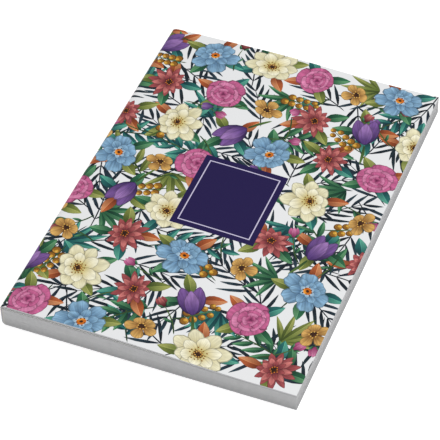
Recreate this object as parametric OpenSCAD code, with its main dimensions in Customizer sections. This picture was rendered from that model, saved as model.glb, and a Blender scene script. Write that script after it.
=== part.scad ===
// Softcover notebook, lying closed with its front cover up.
// X runs across the cover from the spine to the fore edge, Y along the spine from tail to head.
// The origin is under the middle of the notebook, on the surface that it lies on.

/* [Notebook] */
// Width across the closed notebook, from spine to fore edge
book_w = 148; // [100:1:220]
// Height along the spine, from tail to head
book_l = 210; // [140:1:300]
// Closed thickness at the fore edge
fore_t = 10.4; // [8:0.1:16]
// How much thicker the notebook is beside the spine
swell = 2.9; // [0.5:0.1:5]

/* [Cover] */
// Thickness of the cover card
card_t = 0.8; // [0.3:0.05:1.2]
// Width of the rounded shoulder over the spine
shoulder_w = 4.5; // [3:0.5:12]
// Height of the rounded shoulder over the spine
shoulder_h = 1.8; // [1.2:0.1:5]
// Flat strip between the shoulder and the line where the front cover bends open
land_w = 1.5; // [1:0.5:6]
// Outer radius of the fold under the spine
fold_r = 2; // [1.6:0.1:3]
// Height of the front cover above the pages where it stands off them
cover_lift = 1.1; // [0.2:0.1:1.8]

/* [Pages] */
// Thickness of the glue between the backs of the pages and the spine
glue_t = 0.5; // [0.3:0.1:1]

/* [Print] */
// Width of the label field
label_w = 43.5; // [20:0.5:70]
// Height of the label field
label_l = 49; // [20:0.5:80]
// How far the middle of the label field is from the middle of the cover, towards the fore edge
label_across = 1; // [-20:0.5:20]
// How far the middle of the label field is from the middle of the cover, towards the tail
label_down = 2.5; // [-30:0.5:30]
// Width of the pale line inside the label field
label_line_w = 0.6; // [0.4:0.1:1.5]
// Distance from the edge of the label field to its pale line
label_margin = 3; // [2:0.5:6]
// Thickness of the printed film
film_t = 0.05; // [0.03:0.01:0.1]

/* [Hidden] */

// Gap between the two panels at the front hinge line
hinge_gap = 0.2;
// Gap between the spine strip and the back cover at the fold
fold_gap = 0.2;
// Steps along the sloping part of the cover, and round the shoulder and the fold
slope_steps = 4;
arc_steps = 6;
// Where the cover starts to slope down and where it is flat again, as shares of the width
slope_start_share = 0.34;
slope_end_share = 0.88;

spine_t = fore_t + swell;
spine_x = -book_w / 2;
fore_x = book_w / 2;
hinge_x = spine_x + shoulder_w + land_w;
slope_start_x = spine_x + slope_start_share * book_w;
slope_end_x = spine_x + slope_end_share * book_w;
// Angle up the fold, from straight down, at which the spine strip ends
fold_end_angle = acos(1 - (card_t + fold_gap) / fold_r);
// The back cover bends about the middle of its own rounded edge
back_edge_x = spine_x + fold_r - sqrt(pow(fold_r, 2) - pow(fold_r - card_t, 2));
back_axis_x = back_edge_x + card_t / 2;

// Smooth fall from 0 to 1 along the slope of the cover
function fall(x) =
    let (t = min(1, max(0, (x - slope_start_x) / (slope_end_x - slope_start_x)))) t * t * (3 - 2 * t);
function cover_top(x) = spine_t - swell * fall(x);
function page_top(x) = cover_top(x) - card_t - cover_lift * (1 - fall(x));

// Places across the cover at which its profile has a point
slope_xs = [for (i = [0:slope_steps])
    slope_start_x + (slope_end_x - slope_start_x) * i / slope_steps];

// Outline of the shoulder at a depth below the outer face, from the spine up to its top
function shoulder(depth) = [for (i = [0:arc_steps])
    let (a = 90 * i / arc_steps)
    [spine_x + shoulder_w - (shoulder_w - depth) * cos(a),
     spine_t - shoulder_h + (shoulder_h - depth) * sin(a)]];
// Outline of the lower fold at a depth, from an angle up to the spine
function fold(depth, from) = [for (i = [0:arc_steps])
    let (a = from + (90 - from) * i / arc_steps)
    [spine_x + fold_r - (fold_r - depth) * sin(a), fold_r - (fold_r - depth) * cos(a)]];
function reversed(points) = [for (i = [len(points) - 1:-1:0]) points[i]];

// A profile drawn in X and Z, run along the whole spine
module along_spine() {
    translate([0, book_l / 2, 0]) rotate([90, 0, 0]) linear_extrude(book_l) children();
}

// Everything inside the cover at a depth below its outer face
module inside_2d(depth) {
    polygon(concat(
        fold(depth, 0),
        shoulder(depth),
        [for (x = slope_xs) [x, cover_top(x) - depth]],
        [[fore_x, fore_t - depth], [fore_x, depth]]));
}

// What lies under the top page
module under_pages_2d() {
    polygon(concat(
        [[spine_x, 0], [spine_x, page_top(spine_x)]],
        [for (x = slope_xs) [x, page_top(x)]],
        [[fore_x, page_top(fore_x)], [fore_x, 0]]));
}

// The pages lie inside the cover, one glue thickness in from the spine
module pages_2d() {
    intersection() {
        inside_2d(card_t);
        translate([glue_t, 0]) inside_2d(card_t);
        under_pages_2d();
    }
}

module page_block() {
    color("whitesmoke") along_spine() pages_2d();
}

// Glue between the backs of the pages and the spine
module binding_glue() {
    color("ivory") along_spine() difference() {
        intersection() {
            inside_2d(card_t);
            under_pages_2d();
        }
        translate([glue_t, 0]) inside_2d(card_t);
    }
}

// Card from the lower fold up the spine and over the shoulder to the hinge line
module spine_cover() {
    end_x = hinge_x - hinge_gap / 2;
    color("white") along_spine() polygon(concat(
        fold(0, fold_end_angle),
        shoulder(0),
        [[end_x, spine_t], [end_x, spine_t - card_t]],
        reversed(shoulder(card_t)),
        reversed(fold(card_t, fold_end_angle))));
}

// Front panel, which stands off the pages near the spine and lies on them at the fore edge
module front_cover() {
    start_x = hinge_x + hinge_gap / 2;
    xs = concat([start_x], slope_xs, [fore_x]);
    color("white") along_spine() polygon(concat(
        [for (x = xs) [x, cover_top(x)]],
        [for (x = reversed(xs)) [x, cover_top(x) - card_t]]));
}

// Back panel with a rounded edge at the fold
module back_cover() {
    color("white") union() {
        translate([back_axis_x, book_l / 2, card_t / 2]) rotate([90, 0, 0])
            cylinder(h = book_l, d = card_t, $fn = 24);
        translate([back_axis_x, -book_l / 2, 0]) cube([fore_x - back_axis_x, book_l, card_t]);
    }
}

// Print, as thin films on the front cover. Each row is one motif:
// [place across the cover, place along it, size], as shares of the width, the height and
// the width, and then its turn in degrees.

cream_shares = [
    [0.66, 0.03, 0.095, 10], [0.165, 0.165, 0.095, 40], [0.335, 0.40, 0.09, 75],
    [0.755, 0.555, 0.092, 20], [0.205, 0.685, 0.09, 55], [1.0, 0.81, 0.09, 0], [0.41, 0.95, 0.092, 30]
];
pink_shares = [
    [0.07, 0.04, 0.068, 15], [0.76, 0.165, 0.072, 50], [0.0, 0.40, 0.07, 80], [0.345, 0.57, 0.068, 5],
    [0.93, 0.675, 0.07, 35], [0.30, 0.815, 0.07, 65], [0.58, 0.945, 0.066, 25]
];
blue_shares = [
    [0.27, 0.02, 0.085, 20], [0.465, 0.285, 0.085, 60], [0.885, 0.29, 0.085, 0], [0.075, 0.54, 0.085, 45],
    [0.555, 0.66, 0.082, 10], [0.20, 0.94, 0.085, 70], [0.88, 0.955, 0.083, 30]
];
wine_shares = [
    [0.90, 0.05, 0.075, 0], [0.37, 0.15, 0.07, 30], [0.245, 0.30, 0.075, 10], [0.70, 0.405, 0.072, 50],
    [1.01, 0.41, 0.065, 20], [0.015, 0.68, 0.068, 40], [0.745, 0.70, 0.068, 60], [0.10, 0.81, 0.075, 5],
    [0.64, 0.81, 0.075, 35]
];
purple_shares = [
    [0.0, 0.155, 0.062, -30], [0.56, 0.165, 0.06, 25], [0.165, 0.42, 0.06, 160], [0.86, 0.42, 0.06, -20],
    [0.40, 0.69, 0.062, 140], [0.82, 0.82, 0.062, 15], [0.03, 0.945, 0.06, -50]
];
ochre_shares = [
    [0.455, 0.055, 0.05, 0], [0.965, 0.175, 0.05, 25], [0.055, 0.27, 0.05, 50], [0.655, 0.30, 0.05, 15],
    [0.225, 0.545, 0.048, 40], [0.945, 0.53, 0.05, 60], [0.47, 0.80, 0.05, 10], [0.73, 0.935, 0.05, 35]
];
// Place of the foot of a sprig or frond, its length and its direction from +Y
sprig_shares = [
    [0.53, 0.10, 0.15, -60], [0.09, 0.22, 0.14, 170], [0.60, 0.24, 0.14, 60], [0.30, 0.47, 0.14, 120],
    [0.84, 0.48, 0.14, -75], [0.14, 0.615, 0.15, -40], [0.84, 0.75, 0.14, 70], [0.48, 0.86, 0.14, -100],
    [0.12, 0.89, 0.13, 100]
];
frond_shares = [
    [0.17, 0.10, 0.20, -160], [0.80, 0.10, 0.20, -70], [0.27, 0.22, 0.20, -85], [0.46, 0.21, 0.18, 150],
    [0.76, 0.24, 0.19, 75], [0.10, 0.34, 0.19, 60], [0.72, 0.34, 0.18, -20], [0.08, 0.47, 0.20, -70],
    [0.80, 0.49, 0.20, 170], [0.90, 0.60, 0.19, -140], [0.29, 0.63, 0.20, -100], [0.48, 0.74, 0.19, 20],
    [0.85, 0.73, 0.18, -20], [0.20, 0.83, 0.20, 80], [0.38, 0.86, 0.19, 10], [0.72, 0.87, 0.19, 60]
];
// Half width of a leaf at even steps from foot to tip, as shares of its greatest half width
leaf_shares = [1, 0.85];
// Right half of a tulip from its foot to its middle point, as shares of its size
tulip_shares = [
    [0, -1], [0.45, -0.75], [0.64, -0.2], [0.58, 0.4], [0.7, 0.95], [0.3, 0.6], [0, 1.05]
];
// Sizes of petals, leaves and stems
petal_shares = [0.28, 0.12, 0.42, 0.3, 0.22];
eye_share = 0.26;
leaf_long_share = 0.075;
leaf_half_share = 0.02;
leaf_foot_share = 0.55;
stem_share = 0.004;
berry_share = 0.015;
leaflet_share = 0.055;
leaflet_count = 5;
berry_count = 5;
leaf_count = 4;
// Sides of a blossom's eye and of a berry
eye_sides = 7;
berry_sides = 6;

module at(row) {
    translate([spine_x + row[0] * book_w, (row[1] - 1 / 2) * book_l]) rotate(row[3]) children();
}

// Round petals, with a few points each
module petals_2d(row, petals, cleft, points) {
    r = row[2] * book_w;
    at(row) polygon([for (i = [0:petals * points - 1])
        let (a = 360 * i / (petals * points))
        r * (1 - cleft * (1 - sqrt(abs(sin(petals * a / 2))))) * [cos(a), sin(a)]]);
}

// Pointed petals
module pointed_2d(row, petals, cleft) {
    r = row[2] * book_w;
    at(row) polygon([for (i = [0:2 * petals - 1])
        let (a = 180 * i / petals)
        r * (1 - cleft * (i % 2)) * [cos(a), sin(a)]]);
}

module tulip_2d(row) {
    r = row[2] * book_w;
    half = [for (p = tulip_shares) r * p];
    at(row) polygon(concat(half, [for (i = [len(half) - 2:-1:1]) [-half[i][0], half[i][1]]]));
}

module leaf_2d(long, half_w) {
    steps = len(leaf_shares) + 1;
    side = [for (i = [0:len(leaf_shares) - 1]) [leaf_shares[i] * half_w, long * (i + 1) / steps]];
    polygon(concat([[0, 0]], side, [[0, long]], [for (p = reversed(side)) [-p[0], p[1]]]));
}

// Leaves that stand out round one blossom, of which this takes every fourth
module leaves_2d(turn_share) {
    rows = concat(cream_shares, pink_shares, blue_shares, wine_shares, purple_shares);
    for (i = [0:len(rows) - 1]) {
        row = rows[i];
        k = (i + turn_share * leaf_count) % leaf_count;
        at(row) rotate(360 * k / leaf_count + row[3])
            translate([0, leaf_foot_share * row[2] * book_w])
            leaf_2d(leaf_long_share * book_w, leaf_half_share * book_w);
    }
}

module sprigs_2d() {
    for (row = sprig_shares) {
        long = row[2] * book_w;
        stem = stem_share * book_w;
        at(row) {
            polygon([[-stem, 0], [stem, 0], [0, long]]);
            for (i = [1:berry_count]) {
                side = i % 2 == 0 ? 1 : -1;
                translate([side * berry_share * book_w * (i < berry_count ? 1 : 0), long * i / berry_count])
                    circle(r = berry_share * book_w, $fn = berry_sides);
            }
        }
    }
}

module fronds_2d() {
    for (row = frond_shares) {
        long = row[2] * book_w;
        stem = stem_share * book_w;
        reach = leaflet_share * book_w;
        side = [for (i = [0:leaflet_count - 1])
            let (y = long * i / leaflet_count, fade = 1 - i / leaflet_count / 2)
            each [[stem, y], [reach * fade, y + reach * fade]]];
        at(row) polygon(concat([[0, 0]], side, [[0, long]], [for (p = reversed(side)) [-p[0], p[1]]]));
    }
}

module eyes_2d() {
    for (row = concat(cream_shares, blue_shares, wine_shares))
        at(row) circle(r = eye_share * row[2] * book_w, $fn = eye_sides);
}

module label_2d(inset) {
    translate([label_across, -label_down])
        square([label_w - 2 * inset, label_l - 2 * inset], center = true);
}

// The layers of the print, counted from the lowest
FROND = 0;
RUST = 1;
OLIVE = 2;
GREEN = 3;
TEAL = 4;
SPRIG = 5;
OCHRE = 6;
PURPLE = 7;
WINE = 8;
PINK = 9;
BLUE = 10;
CREAM = 11;
EYE = 12;
LABEL = 13;
LINE = 14;

module layer_2d(layer) {
    if (layer == FROND) fronds_2d();
    if (layer == RUST) leaves_2d(0);
    if (layer == OLIVE) leaves_2d(1 / 4);
    if (layer == GREEN) leaves_2d(1 / 2);
    if (layer == TEAL) leaves_2d(3 / 4);
    if (layer == SPRIG) sprigs_2d();
    if (layer == OCHRE) for (row = ochre_shares) petals_2d(row, 5, petal_shares[4], 3);
    if (layer == PURPLE) for (row = purple_shares) tulip_2d(row);
    if (layer == WINE) for (row = wine_shares) pointed_2d(row, 11, petal_shares[3]);
    if (layer == PINK) for (row = pink_shares) petals_2d(row, 5, petal_shares[1], 4);
    if (layer == BLUE) for (row = blue_shares) petals_2d(row, 6, petal_shares[2], 4);
    if (layer == CREAM) for (row = cream_shares) petals_2d(row, 8, petal_shares[0], 4);
    if (layer == EYE) eyes_2d();
    if (layer == LABEL) label_2d(0);
    if (layer == LINE) difference() {
        label_2d(label_margin);
        label_2d(label_margin + label_line_w);
    }
}

// One layer of the print as a film on the front cover, cut round the layers over it
module film(layer) {
    start_x = hinge_x + hinge_gap / 2;
    xs = concat([start_x], slope_xs, [fore_x]);
    intersection() {
        along_spine() polygon(concat(
            [for (x = xs) [x, cover_top(x)]],
            [for (x = reversed(xs)) [x, cover_top(x) + film_t]]));
        linear_extrude(2 * spine_t) difference() {
            layer_2d(layer);
            for (over = [layer + 1:LINE]) layer_2d(over);
        }
    }
}

module print_fronds() { color("darkslategray") film(FROND); }
module print_rust_leaves() { color("sienna") film(RUST); }
module print_olive_leaves() { color("olivedrab") film(OLIVE); }
module print_green_leaves() { color("seagreen") film(GREEN); }
module print_teal_leaves() { color("teal") film(TEAL); }
module print_mustard_sprigs() { color("goldenrod") film(SPRIG); }
module print_ochre_blossoms() { color("peru") film(OCHRE); }
module print_purple_tulips() { color("mediumpurple") film(PURPLE); }
module print_wine_blossoms() { color("brown") film(WINE); }
module print_pink_blossoms() { color("palevioletred") film(PINK); }
module print_blue_blossoms() { color("skyblue") film(BLUE); }
module print_cream_blossoms() { color("lemonchiffon") film(CREAM); }
module print_blossom_eyes() { color("orange") film(EYE); }
module label_field() { color("midnightblue") film(LABEL); }
module label_line() { color("white") film(LINE); }

page_block();
binding_glue();
back_cover();
spine_cover();
front_cover();
print_fronds();
print_rust_leaves();
print_olive_leaves();
print_green_leaves();
print_teal_leaves();
print_mustard_sprigs();
print_ochre_blossoms();
print_purple_tulips();
print_wine_blossoms();
print_pink_blossoms();
print_blue_blossoms();
print_cream_blossoms();
print_blossom_eyes();
label_field();
label_line();
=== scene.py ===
# Looks of the softcover notebook: a printed cover sheet, trimmed pages and soft studio light

import math
import random

import bpy
import numpy as np
from mathutils import Matrix, Vector
from mathutils.bvhtree import BVHTree
from mathutils.geometry import delaunay_2d_cdt


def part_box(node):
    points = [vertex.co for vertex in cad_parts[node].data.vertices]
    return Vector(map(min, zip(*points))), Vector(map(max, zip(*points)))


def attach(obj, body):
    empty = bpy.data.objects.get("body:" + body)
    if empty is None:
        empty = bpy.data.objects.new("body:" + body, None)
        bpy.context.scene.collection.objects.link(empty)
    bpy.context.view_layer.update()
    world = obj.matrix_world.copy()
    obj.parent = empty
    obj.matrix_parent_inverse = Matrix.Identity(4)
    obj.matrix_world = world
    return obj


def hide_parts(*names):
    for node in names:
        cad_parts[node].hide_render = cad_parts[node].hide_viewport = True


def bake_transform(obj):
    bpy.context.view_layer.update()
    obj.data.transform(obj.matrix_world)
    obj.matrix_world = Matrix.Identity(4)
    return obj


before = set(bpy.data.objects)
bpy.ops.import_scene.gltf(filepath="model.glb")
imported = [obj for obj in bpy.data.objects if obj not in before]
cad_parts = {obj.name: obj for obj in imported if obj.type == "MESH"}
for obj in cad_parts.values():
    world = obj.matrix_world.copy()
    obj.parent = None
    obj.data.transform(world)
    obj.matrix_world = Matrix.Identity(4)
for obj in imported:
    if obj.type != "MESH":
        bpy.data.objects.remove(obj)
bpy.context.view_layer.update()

MM = 0.001

# Sizes of the notebook, in millimetres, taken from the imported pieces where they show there
card_low, card_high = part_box("back_cover")
front_low, front_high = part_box("front_cover")
page_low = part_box("page_block")[0]
label_low, label_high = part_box("label_field")
SPINE_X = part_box("spine_cover")[0].x / MM
FORE_X = front_high.x / MM
BOOK_W = FORE_X - SPINE_X
TAIL_Y = front_low.y / MM
HEAD_Y = front_high.y / MM
BOOK_L = HEAD_Y - TAIL_Y
CARD_T = (card_high.z - card_low.z) / MM
SPINE_T = front_high.z / MM
FORE_T = front_low.z / MM + CARD_T
HINGE_X = front_low.x / MM
GLUE_T = page_low.x / MM - SPINE_X - CARD_T

# Sizes that the boxes don't show, the same as in the part's source
SHOULDER_W = 4.5
SHOULDER_H = 1.8
FOLD_R = 2.0
COVER_LIFT = 1.1
SLOPE_START = SPINE_X + 0.34 * BOOK_W
SLOPE_END = SPINE_X + 0.88 * BOOK_W

# Points or steps on each stretch of a profile
UPRIGHT_POINTS = 20
SHOULDER_STEPS = 40
COVER_POINTS = 280
UNDER_POINTS = 60
FOLD_STEPS = 16


# Camera, at the photograph's angle

CAMERA_TARGET = Vector((-2.9, -6.05, 0.0)) * MM
CAMERA_DISTANCE = 1038.5 * MM
CAMERA_AZIMUTH = math.radians(23.31)
CAMERA_ELEVATION = math.radians(46.12)
CAMERA_ROLL = math.radians(-2.12)
FOCAL_PIXELS = 2106.1
FRAME_PIXELS = 440
SENSOR_WIDTH = 36.0


def add_camera():
    data = bpy.data.cameras.new("camera")
    data.sensor_width = SENSOR_WIDTH
    data.lens = FOCAL_PIXELS / FRAME_PIXELS * SENSOR_WIDTH
    camera = bpy.data.objects.new("camera", data)
    bpy.context.scene.collection.objects.link(camera)
    level = math.cos(CAMERA_ELEVATION)
    away = Vector((
        math.sin(CAMERA_AZIMUTH) * level, -math.cos(CAMERA_AZIMUTH) * level, math.sin(CAMERA_ELEVATION)))
    turn = (-away).to_track_quat("-Z", "Y").to_matrix() @ Matrix.Rotation(CAMERA_ROLL, 3, "Z")
    camera.matrix_world = Matrix.Translation(CAMERA_TARGET + CAMERA_DISTANCE * away) @ turn.to_4x4()
    bpy.context.scene.camera = camera


add_camera()


# Profile of the closed notebook, seen from the tail

def fall(x):
    """Smooth fall from 0 to 1 along the slope of the front cover."""
    t = np.clip((np.asarray(x, float) - SLOPE_START) / (SLOPE_END - SLOPE_START), 0, 1)
    return t * t * (3 - 2 * t)


def cover_top(x):
    return SPINE_T - (SPINE_T - FORE_T) * fall(x)


def page_top(x):
    return cover_top(x) - CARD_T - COVER_LIFT * (1 - fall(x))


def shoulder_profile(steps):
    """Quarter ellipse from the top of the upright spine to the flat of the front cover."""
    a = np.linspace(0, math.pi / 2, steps + 1)
    x = SPINE_X + SHOULDER_W * (1 - np.cos(a))
    z = SPINE_T - SHOULDER_H * (1 - np.sin(a))
    return np.column_stack([x, z])


def fold_profile(steps):
    """Quarter circle from the underside up to the upright spine."""
    a = np.linspace(0, math.pi / 2, steps + 1)
    return np.column_stack([SPINE_X + FOLD_R * (1 - np.sin(a)), FOLD_R * (1 - np.cos(a))])


class Path:
    """A profile laid out flat: u runs along it, in millimetres, and is zero_u at the point zero_index."""

    def __init__(self, points, zero_index, zero_u):
        self.points = np.asarray(points, float)
        steps = np.linalg.norm(np.diff(self.points, axis=0), axis=1)
        self.u = np.concatenate([[0], np.cumsum(steps)])
        self.u += zero_u - self.u[zero_index]
        tangents = np.gradient(self.points, self.u, axis=0)
        self.tangents = tangents / np.linalg.norm(tangents, axis=1)[:, None]

    def at(self, u, depth):
        """Points at a depth to the right of the path's direction of travel."""
        place = np.column_stack([np.interp(u, self.u, self.points[:, k]) for k in (0, 1)])
        tangent = np.column_stack([np.interp(u, self.u, self.tangents[:, k]) for k in (0, 1)])
        tangent /= np.linalg.norm(tangent, axis=1)[:, None]
        inward = np.column_stack([tangent[:, 1], -tangent[:, 0]])
        return place + depth * inward


def front_path():
    """From the foot of the spine, over the shoulder and along the front cover to the fore edge."""
    upright = [[SPINE_X, z] for z in np.linspace(FOLD_R, SPINE_T - SHOULDER_H, UPRIGHT_POINTS)[:-1]]
    shoulder = shoulder_profile(SHOULDER_STEPS)
    xs = np.linspace(SPINE_X + SHOULDER_W, FORE_X, COVER_POINTS)[1:]
    flat = np.column_stack([xs, cover_top(xs)])
    points = np.vstack([upright, shoulder, flat])
    return Path(points, len(upright) + len(shoulder) - 1, SHOULDER_W)


def back_path():
    """From the fore edge along the underside and up the lower fold."""
    xs = np.linspace(FORE_X, SPINE_X + FOLD_R, UNDER_POINTS)[:-1]
    under = np.column_stack([xs, np.zeros_like(xs)])
    points = np.vstack([under, fold_profile(FOLD_STEPS)])
    return Path(points, 0, 0)


FRONT = front_path()
BACK = back_path()
HINGE_U = HINGE_X - SPINE_X


# Inks, as the colour at the foot of a shape and the colour at its tip, in display values

INKS = {
    "cream": ((166, 150, 82), (228, 223, 190)),
    "cream_inner": ((192, 174, 96), (238, 234, 208)),
    "pink": ((116, 36, 80), (190, 96, 140)),
    "pink_inner": ((134, 48, 92), (206, 126, 164)),
    "blue": ((44, 84, 124), (130, 168, 196)),
    "blue_inner": ((206, 222, 230), (132, 168, 194)),
    "wine": ((66, 18, 30), (158, 76, 78)),
    "wine_inner": ((78, 18, 30), (200, 116, 112)),
    "purple": ((52, 34, 84), (116, 82, 144)),
    "purple_light": ((78, 52, 112), (148, 112, 170)),
    "ochre": ((122, 78, 34), (206, 162, 92)),
    "mustard": ((124, 84, 28), (186, 138, 56)),
    "mustard_light": ((204, 156, 54), (236, 200, 100)),
    "green": ((14, 50, 38), (44, 104, 70)),
    "green_light": ((36, 88, 60), (96, 150, 106)),
    "teal": ((12, 50, 58), (36, 104, 100)),
    "teal_light": ((26, 92, 92), (88, 164, 142)),
    "olive": ((58, 72, 30), (116, 126, 60)),
    "olive_light": ((96, 112, 48), (164, 168, 96)),
    "rust": ((104, 46, 24), (176, 92, 50)),
    "rust_light": ((146, 74, 42), (210, 144, 98)),
    "dark": ((14, 22, 32), (30, 46, 54)),
    "stem": ((44, 72, 38), (84, 112, 54)),
    "brown": ((56, 32, 18), (92, 54, 26)),
    "orange": ((196, 104, 26), (236, 158, 56)),
    "pollen": ((220, 172, 78), (244, 214, 132)),
    "navy": ((31, 21, 72), (31, 21, 72)),
    "pale_line": ((196, 190, 214), (196, 190, 214)),
}
GROUND = (228, 229, 230)


def linear(colour):
    """Display values from 0 to 255 as linear light."""
    c = np.asarray(colour, float) / 255
    return np.where(c <= 0.04045, c / 12.92, ((c + 0.055) / 1.055) ** 2.4)


# The print: shapes on the laid-out sheet, in millimetres, from the lowest to the topmost.
# A place is a 3 x 3 matrix from a motif's own plane to the sheet. Turns are in degrees, from +Y as seen from
# above.

shapes = []


def step(x=0.0, y=0.0, turn=0.0, wide=1.0, long=1.0):
    """A move, a turn and a stretch, as a place within another place."""
    c, s = math.cos(math.radians(turn)), math.sin(math.radians(turn))
    return np.array([[c * wide, -s * long, x], [s * wide, c * long, y], [0, 0, 1]])


def place_of(row):
    return step(row[0] * BOOK_W, row[1] * BOOK_L, row[3])


def through(matrix, points):
    points = np.asarray(points, float)
    return points @ matrix[:2, :2].T + matrix[:2, 2]


def stamp(place, outline, half_w, length, ink, shade=1.0, streak=0.0, vein=0.0):
    """Lays one shape over what is there. Its ink runs from foot to tip over its length."""
    foot, tip = (np.asarray(c) * shade for c in INKS[ink])
    own = np.linalg.inv(place @ np.diag([half_w, length, 1]))
    shapes.append({
        "points": through(place, outline), "own": own,
        "foot": (*linear(foot), streak), "tip": (*linear(tip), vein)})


def blade(half_w, length, wide, blunt, steps=7, notch=0.0, bend=0.0):
    """Outline of a petal or leaf: wide over 1 moves its widest place to the tip, a small blunt rounds it."""
    t = (1 - np.cos(np.linspace(0, math.pi, steps + 1))) / 2
    w = half_w * np.sin(math.pi * t ** wide) ** blunt
    w[0] = w[-1] = 0
    y = t * length
    y[-1] *= 1 - notch
    x_mid = bend * length * t * t
    right = np.column_stack([x_mid + w, y])
    left = np.column_stack([x_mid - w, y])[-2:0:-1]
    return np.vstack([right, left])


def disc(radius, sides=12):
    a = np.linspace(0, 2 * math.pi, sides + 1)[:-1]
    return radius * np.column_stack([np.cos(a), np.sin(a)])


def spot(place, radius, ink, sides=12, shade=1.0, streak=0.0):
    stamp(place, disc(radius, sides), radius, radius, ink, shade, streak)


def petal(place, half_w, length, wide, blunt, ink, notch=0.0, streak=0.5, rim=0.88, steps=7, dark=0.72):
    """A petal with a darker rim."""
    outline = blade(half_w, length, wide, blunt, steps, notch)
    stamp(place, outline, half_w, length, ink, dark, streak)
    middle = np.array([0, 0.5 * length])
    inner = middle + (outline - middle) * np.array([rim, (1 + rim) / 2])
    stamp(place, inner, half_w, length, ink, 1.0, streak)


def petal_ring(place, count, turn, half_w, length, wide, blunt, ink, lean=0.0, **more):
    """Petals round a middle. With lean, those at the back are longer and those in front short and wide."""
    order = sorted(range(count), key=lambda i: -math.cos(math.radians(turn + 360 * i / count)))
    for i in order:
        a = turn + 360 * i / count
        size = 1 + 0.06 * math.sin(2.3 * i + place[0, 2] + place[1, 2])
        reach = length * size * (1 + lean * math.cos(math.radians(a)))
        petal(place @ step(turn=a), half_w * size, reach, wide, blunt, ink, **more)


def stamens(place, count, radius, dot, ink):
    for i in range(count):
        a = 2 * math.pi * i / count
        reach = radius * (1 + 0.18 * math.sin(5 * a + place[0, 2]))
        spot(place @ step(reach * math.cos(a), reach * math.sin(a)), dot, ink, 6)


def leaning(row, squash=0.86):
    """A blossom's place, seen a little from one side. The side differs from row to row."""
    side = 360 * ((7.3 * row[0] + 3.1 * row[1]) % 1)
    return place_of(row) @ step(turn=side, long=squash), row[2] * BOOK_W


def cream_blossom(row):
    place, r = leaning(row)
    petal_ring(place, 8, 0, 0.33 * r, 1.04 * r, 1.5, 0.68, "cream", 0.20, streak=0.5, dark=0.74)
    petal_ring(place, 6, 18, 0.27 * r, 0.72 * r, 1.4, 0.66, "cream_inner", 0.20, streak=0.5, dark=0.76)
    stamens(place, 14, 0.27 * r, 0.035 * r, "mustard")
    spot(place, 0.19 * r, "ochre", shade=0.8, streak=0.8)
    spot(place, 0.11 * r, "brown")
    stamens(place, 9, 0.13 * r, 0.025 * r, "pollen")


def pink_blossom(row):
    place, r = leaning(row, 0.90)
    petal_ring(place, 5, 0, 0.64 * r, 1.04 * r, 1.9, 0.50, "pink", 0.16, streak=0.8)
    petal_ring(place, 5, 36, 0.50 * r, 0.78 * r, 1.9, 0.50, "pink_inner", 0.16, streak=0.8)
    petal_ring(place, 4, 12, 0.39 * r, 0.56 * r, 1.9, 0.50, "pink", 0.12, streak=0.8)
    petal_ring(place, 3, 50, 0.28 * r, 0.38 * r, 1.9, 0.50, "pink_inner", streak=0.6)
    petal_ring(place, 3, 0, 0.17 * r, 0.22 * r, 1.9, 0.50, "pink", streak=0.5)


def blue_blossom(row):
    place, r = leaning(row)
    petal_ring(place, 6, 0, 0.40 * r, 1.06 * r, 1.9, 0.60, "blue", 0.18, notch=0.08, streak=1.0)
    petal_ring(place, 6, 30, 0.24 * r, 0.66 * r, 1.5, 0.70, "blue", 0.18, streak=1.0)
    petal_ring(place, 6, 0, 0.12 * r, 0.36 * r, 1.2, 0.8, "blue_inner", streak=0.2, steps=5)
    spot(place, 0.19 * r, "orange", streak=0.5)
    stamens(place, 8, 0.20 * r, 0.035 * r, "brown")
    spot(place, 0.07 * r, "brown")


def wine_blossom(row):
    place, r = leaning(row)
    petal_ring(place, 11, 0, 0.19 * r, 1.04 * r, 1.15, 0.8, "wine", 0.18, streak=0.8)
    petal_ring(place, 9, 14, 0.17 * r, 0.80 * r, 1.15, 0.8, "wine_inner", 0.18, streak=0.8)
    petal_ring(place, 7, 5, 0.14 * r, 0.54 * r, 1.15, 0.8, "wine", 0.12, streak=0.8)
    spot(place, 0.17 * r, "brown", shade=0.8)
    stamens(place, 9, 0.17 * r, 0.035 * r, "orange")


def ochre_blossom(row):
    place, r = leaning(row, 0.82)
    petal_ring(place, 5, 0, 0.46 * r, 1.08 * r, 1.8, 0.55, "ochre", 0.20, streak=1.0)
    spot(place, 0.25 * r, "brown", streak=0.5)
    stamens(place, 8, 0.28 * r, 0.055 * r, "pollen")


def tulip(row):
    place, r = place_of(row), row[2] * BOOK_W
    foot = place @ step(y=-r)
    stamp(foot @ step(turn=180), blade(0.09 * r, 1.5 * r, 1, 0.4, 5, 0, 0.1), 0.09 * r, 1.5 * r, "stem")
    petal(foot @ step(-0.16 * r, 0.1 * r, 10), 0.44 * r, 1.90 * r, 0.95, 0.66, "purple", streak=0.9)
    petal(foot @ step(0.16 * r, 0.1 * r, -10), 0.44 * r, 1.90 * r, 0.95, 0.66, "purple", streak=0.9)
    petal(foot, 0.44 * r, 1.72 * r, 0.85, 0.70, "purple_light", streak=0.9)


def leaf(place, half_w, length, ink, bend=0.0):
    """A leaf with a dark half, a light half and a pale midrib."""
    outline = blade(half_w, length, 0.82, 0.85, 8, 0, bend)
    stamp(place, outline, half_w, length, ink, 1.0, 0.25, 0.9)
    right = outline[:9]
    rib = np.column_stack([bend * right[:, 1] ** 2 / length, right[:, 1]])
    half = np.vstack([0.9 * right + 0.1 * rib, rib[-2:0:-1]])
    stamp(place, half, half_w, length, ink + "_light", 0.95, 0.25, 0.6)
    stamp(place, blade(0.05 * half_w, length, 0.7, 0.4, 4, 0, bend), half_w, length, ink + "_light", 1.12)


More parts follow.
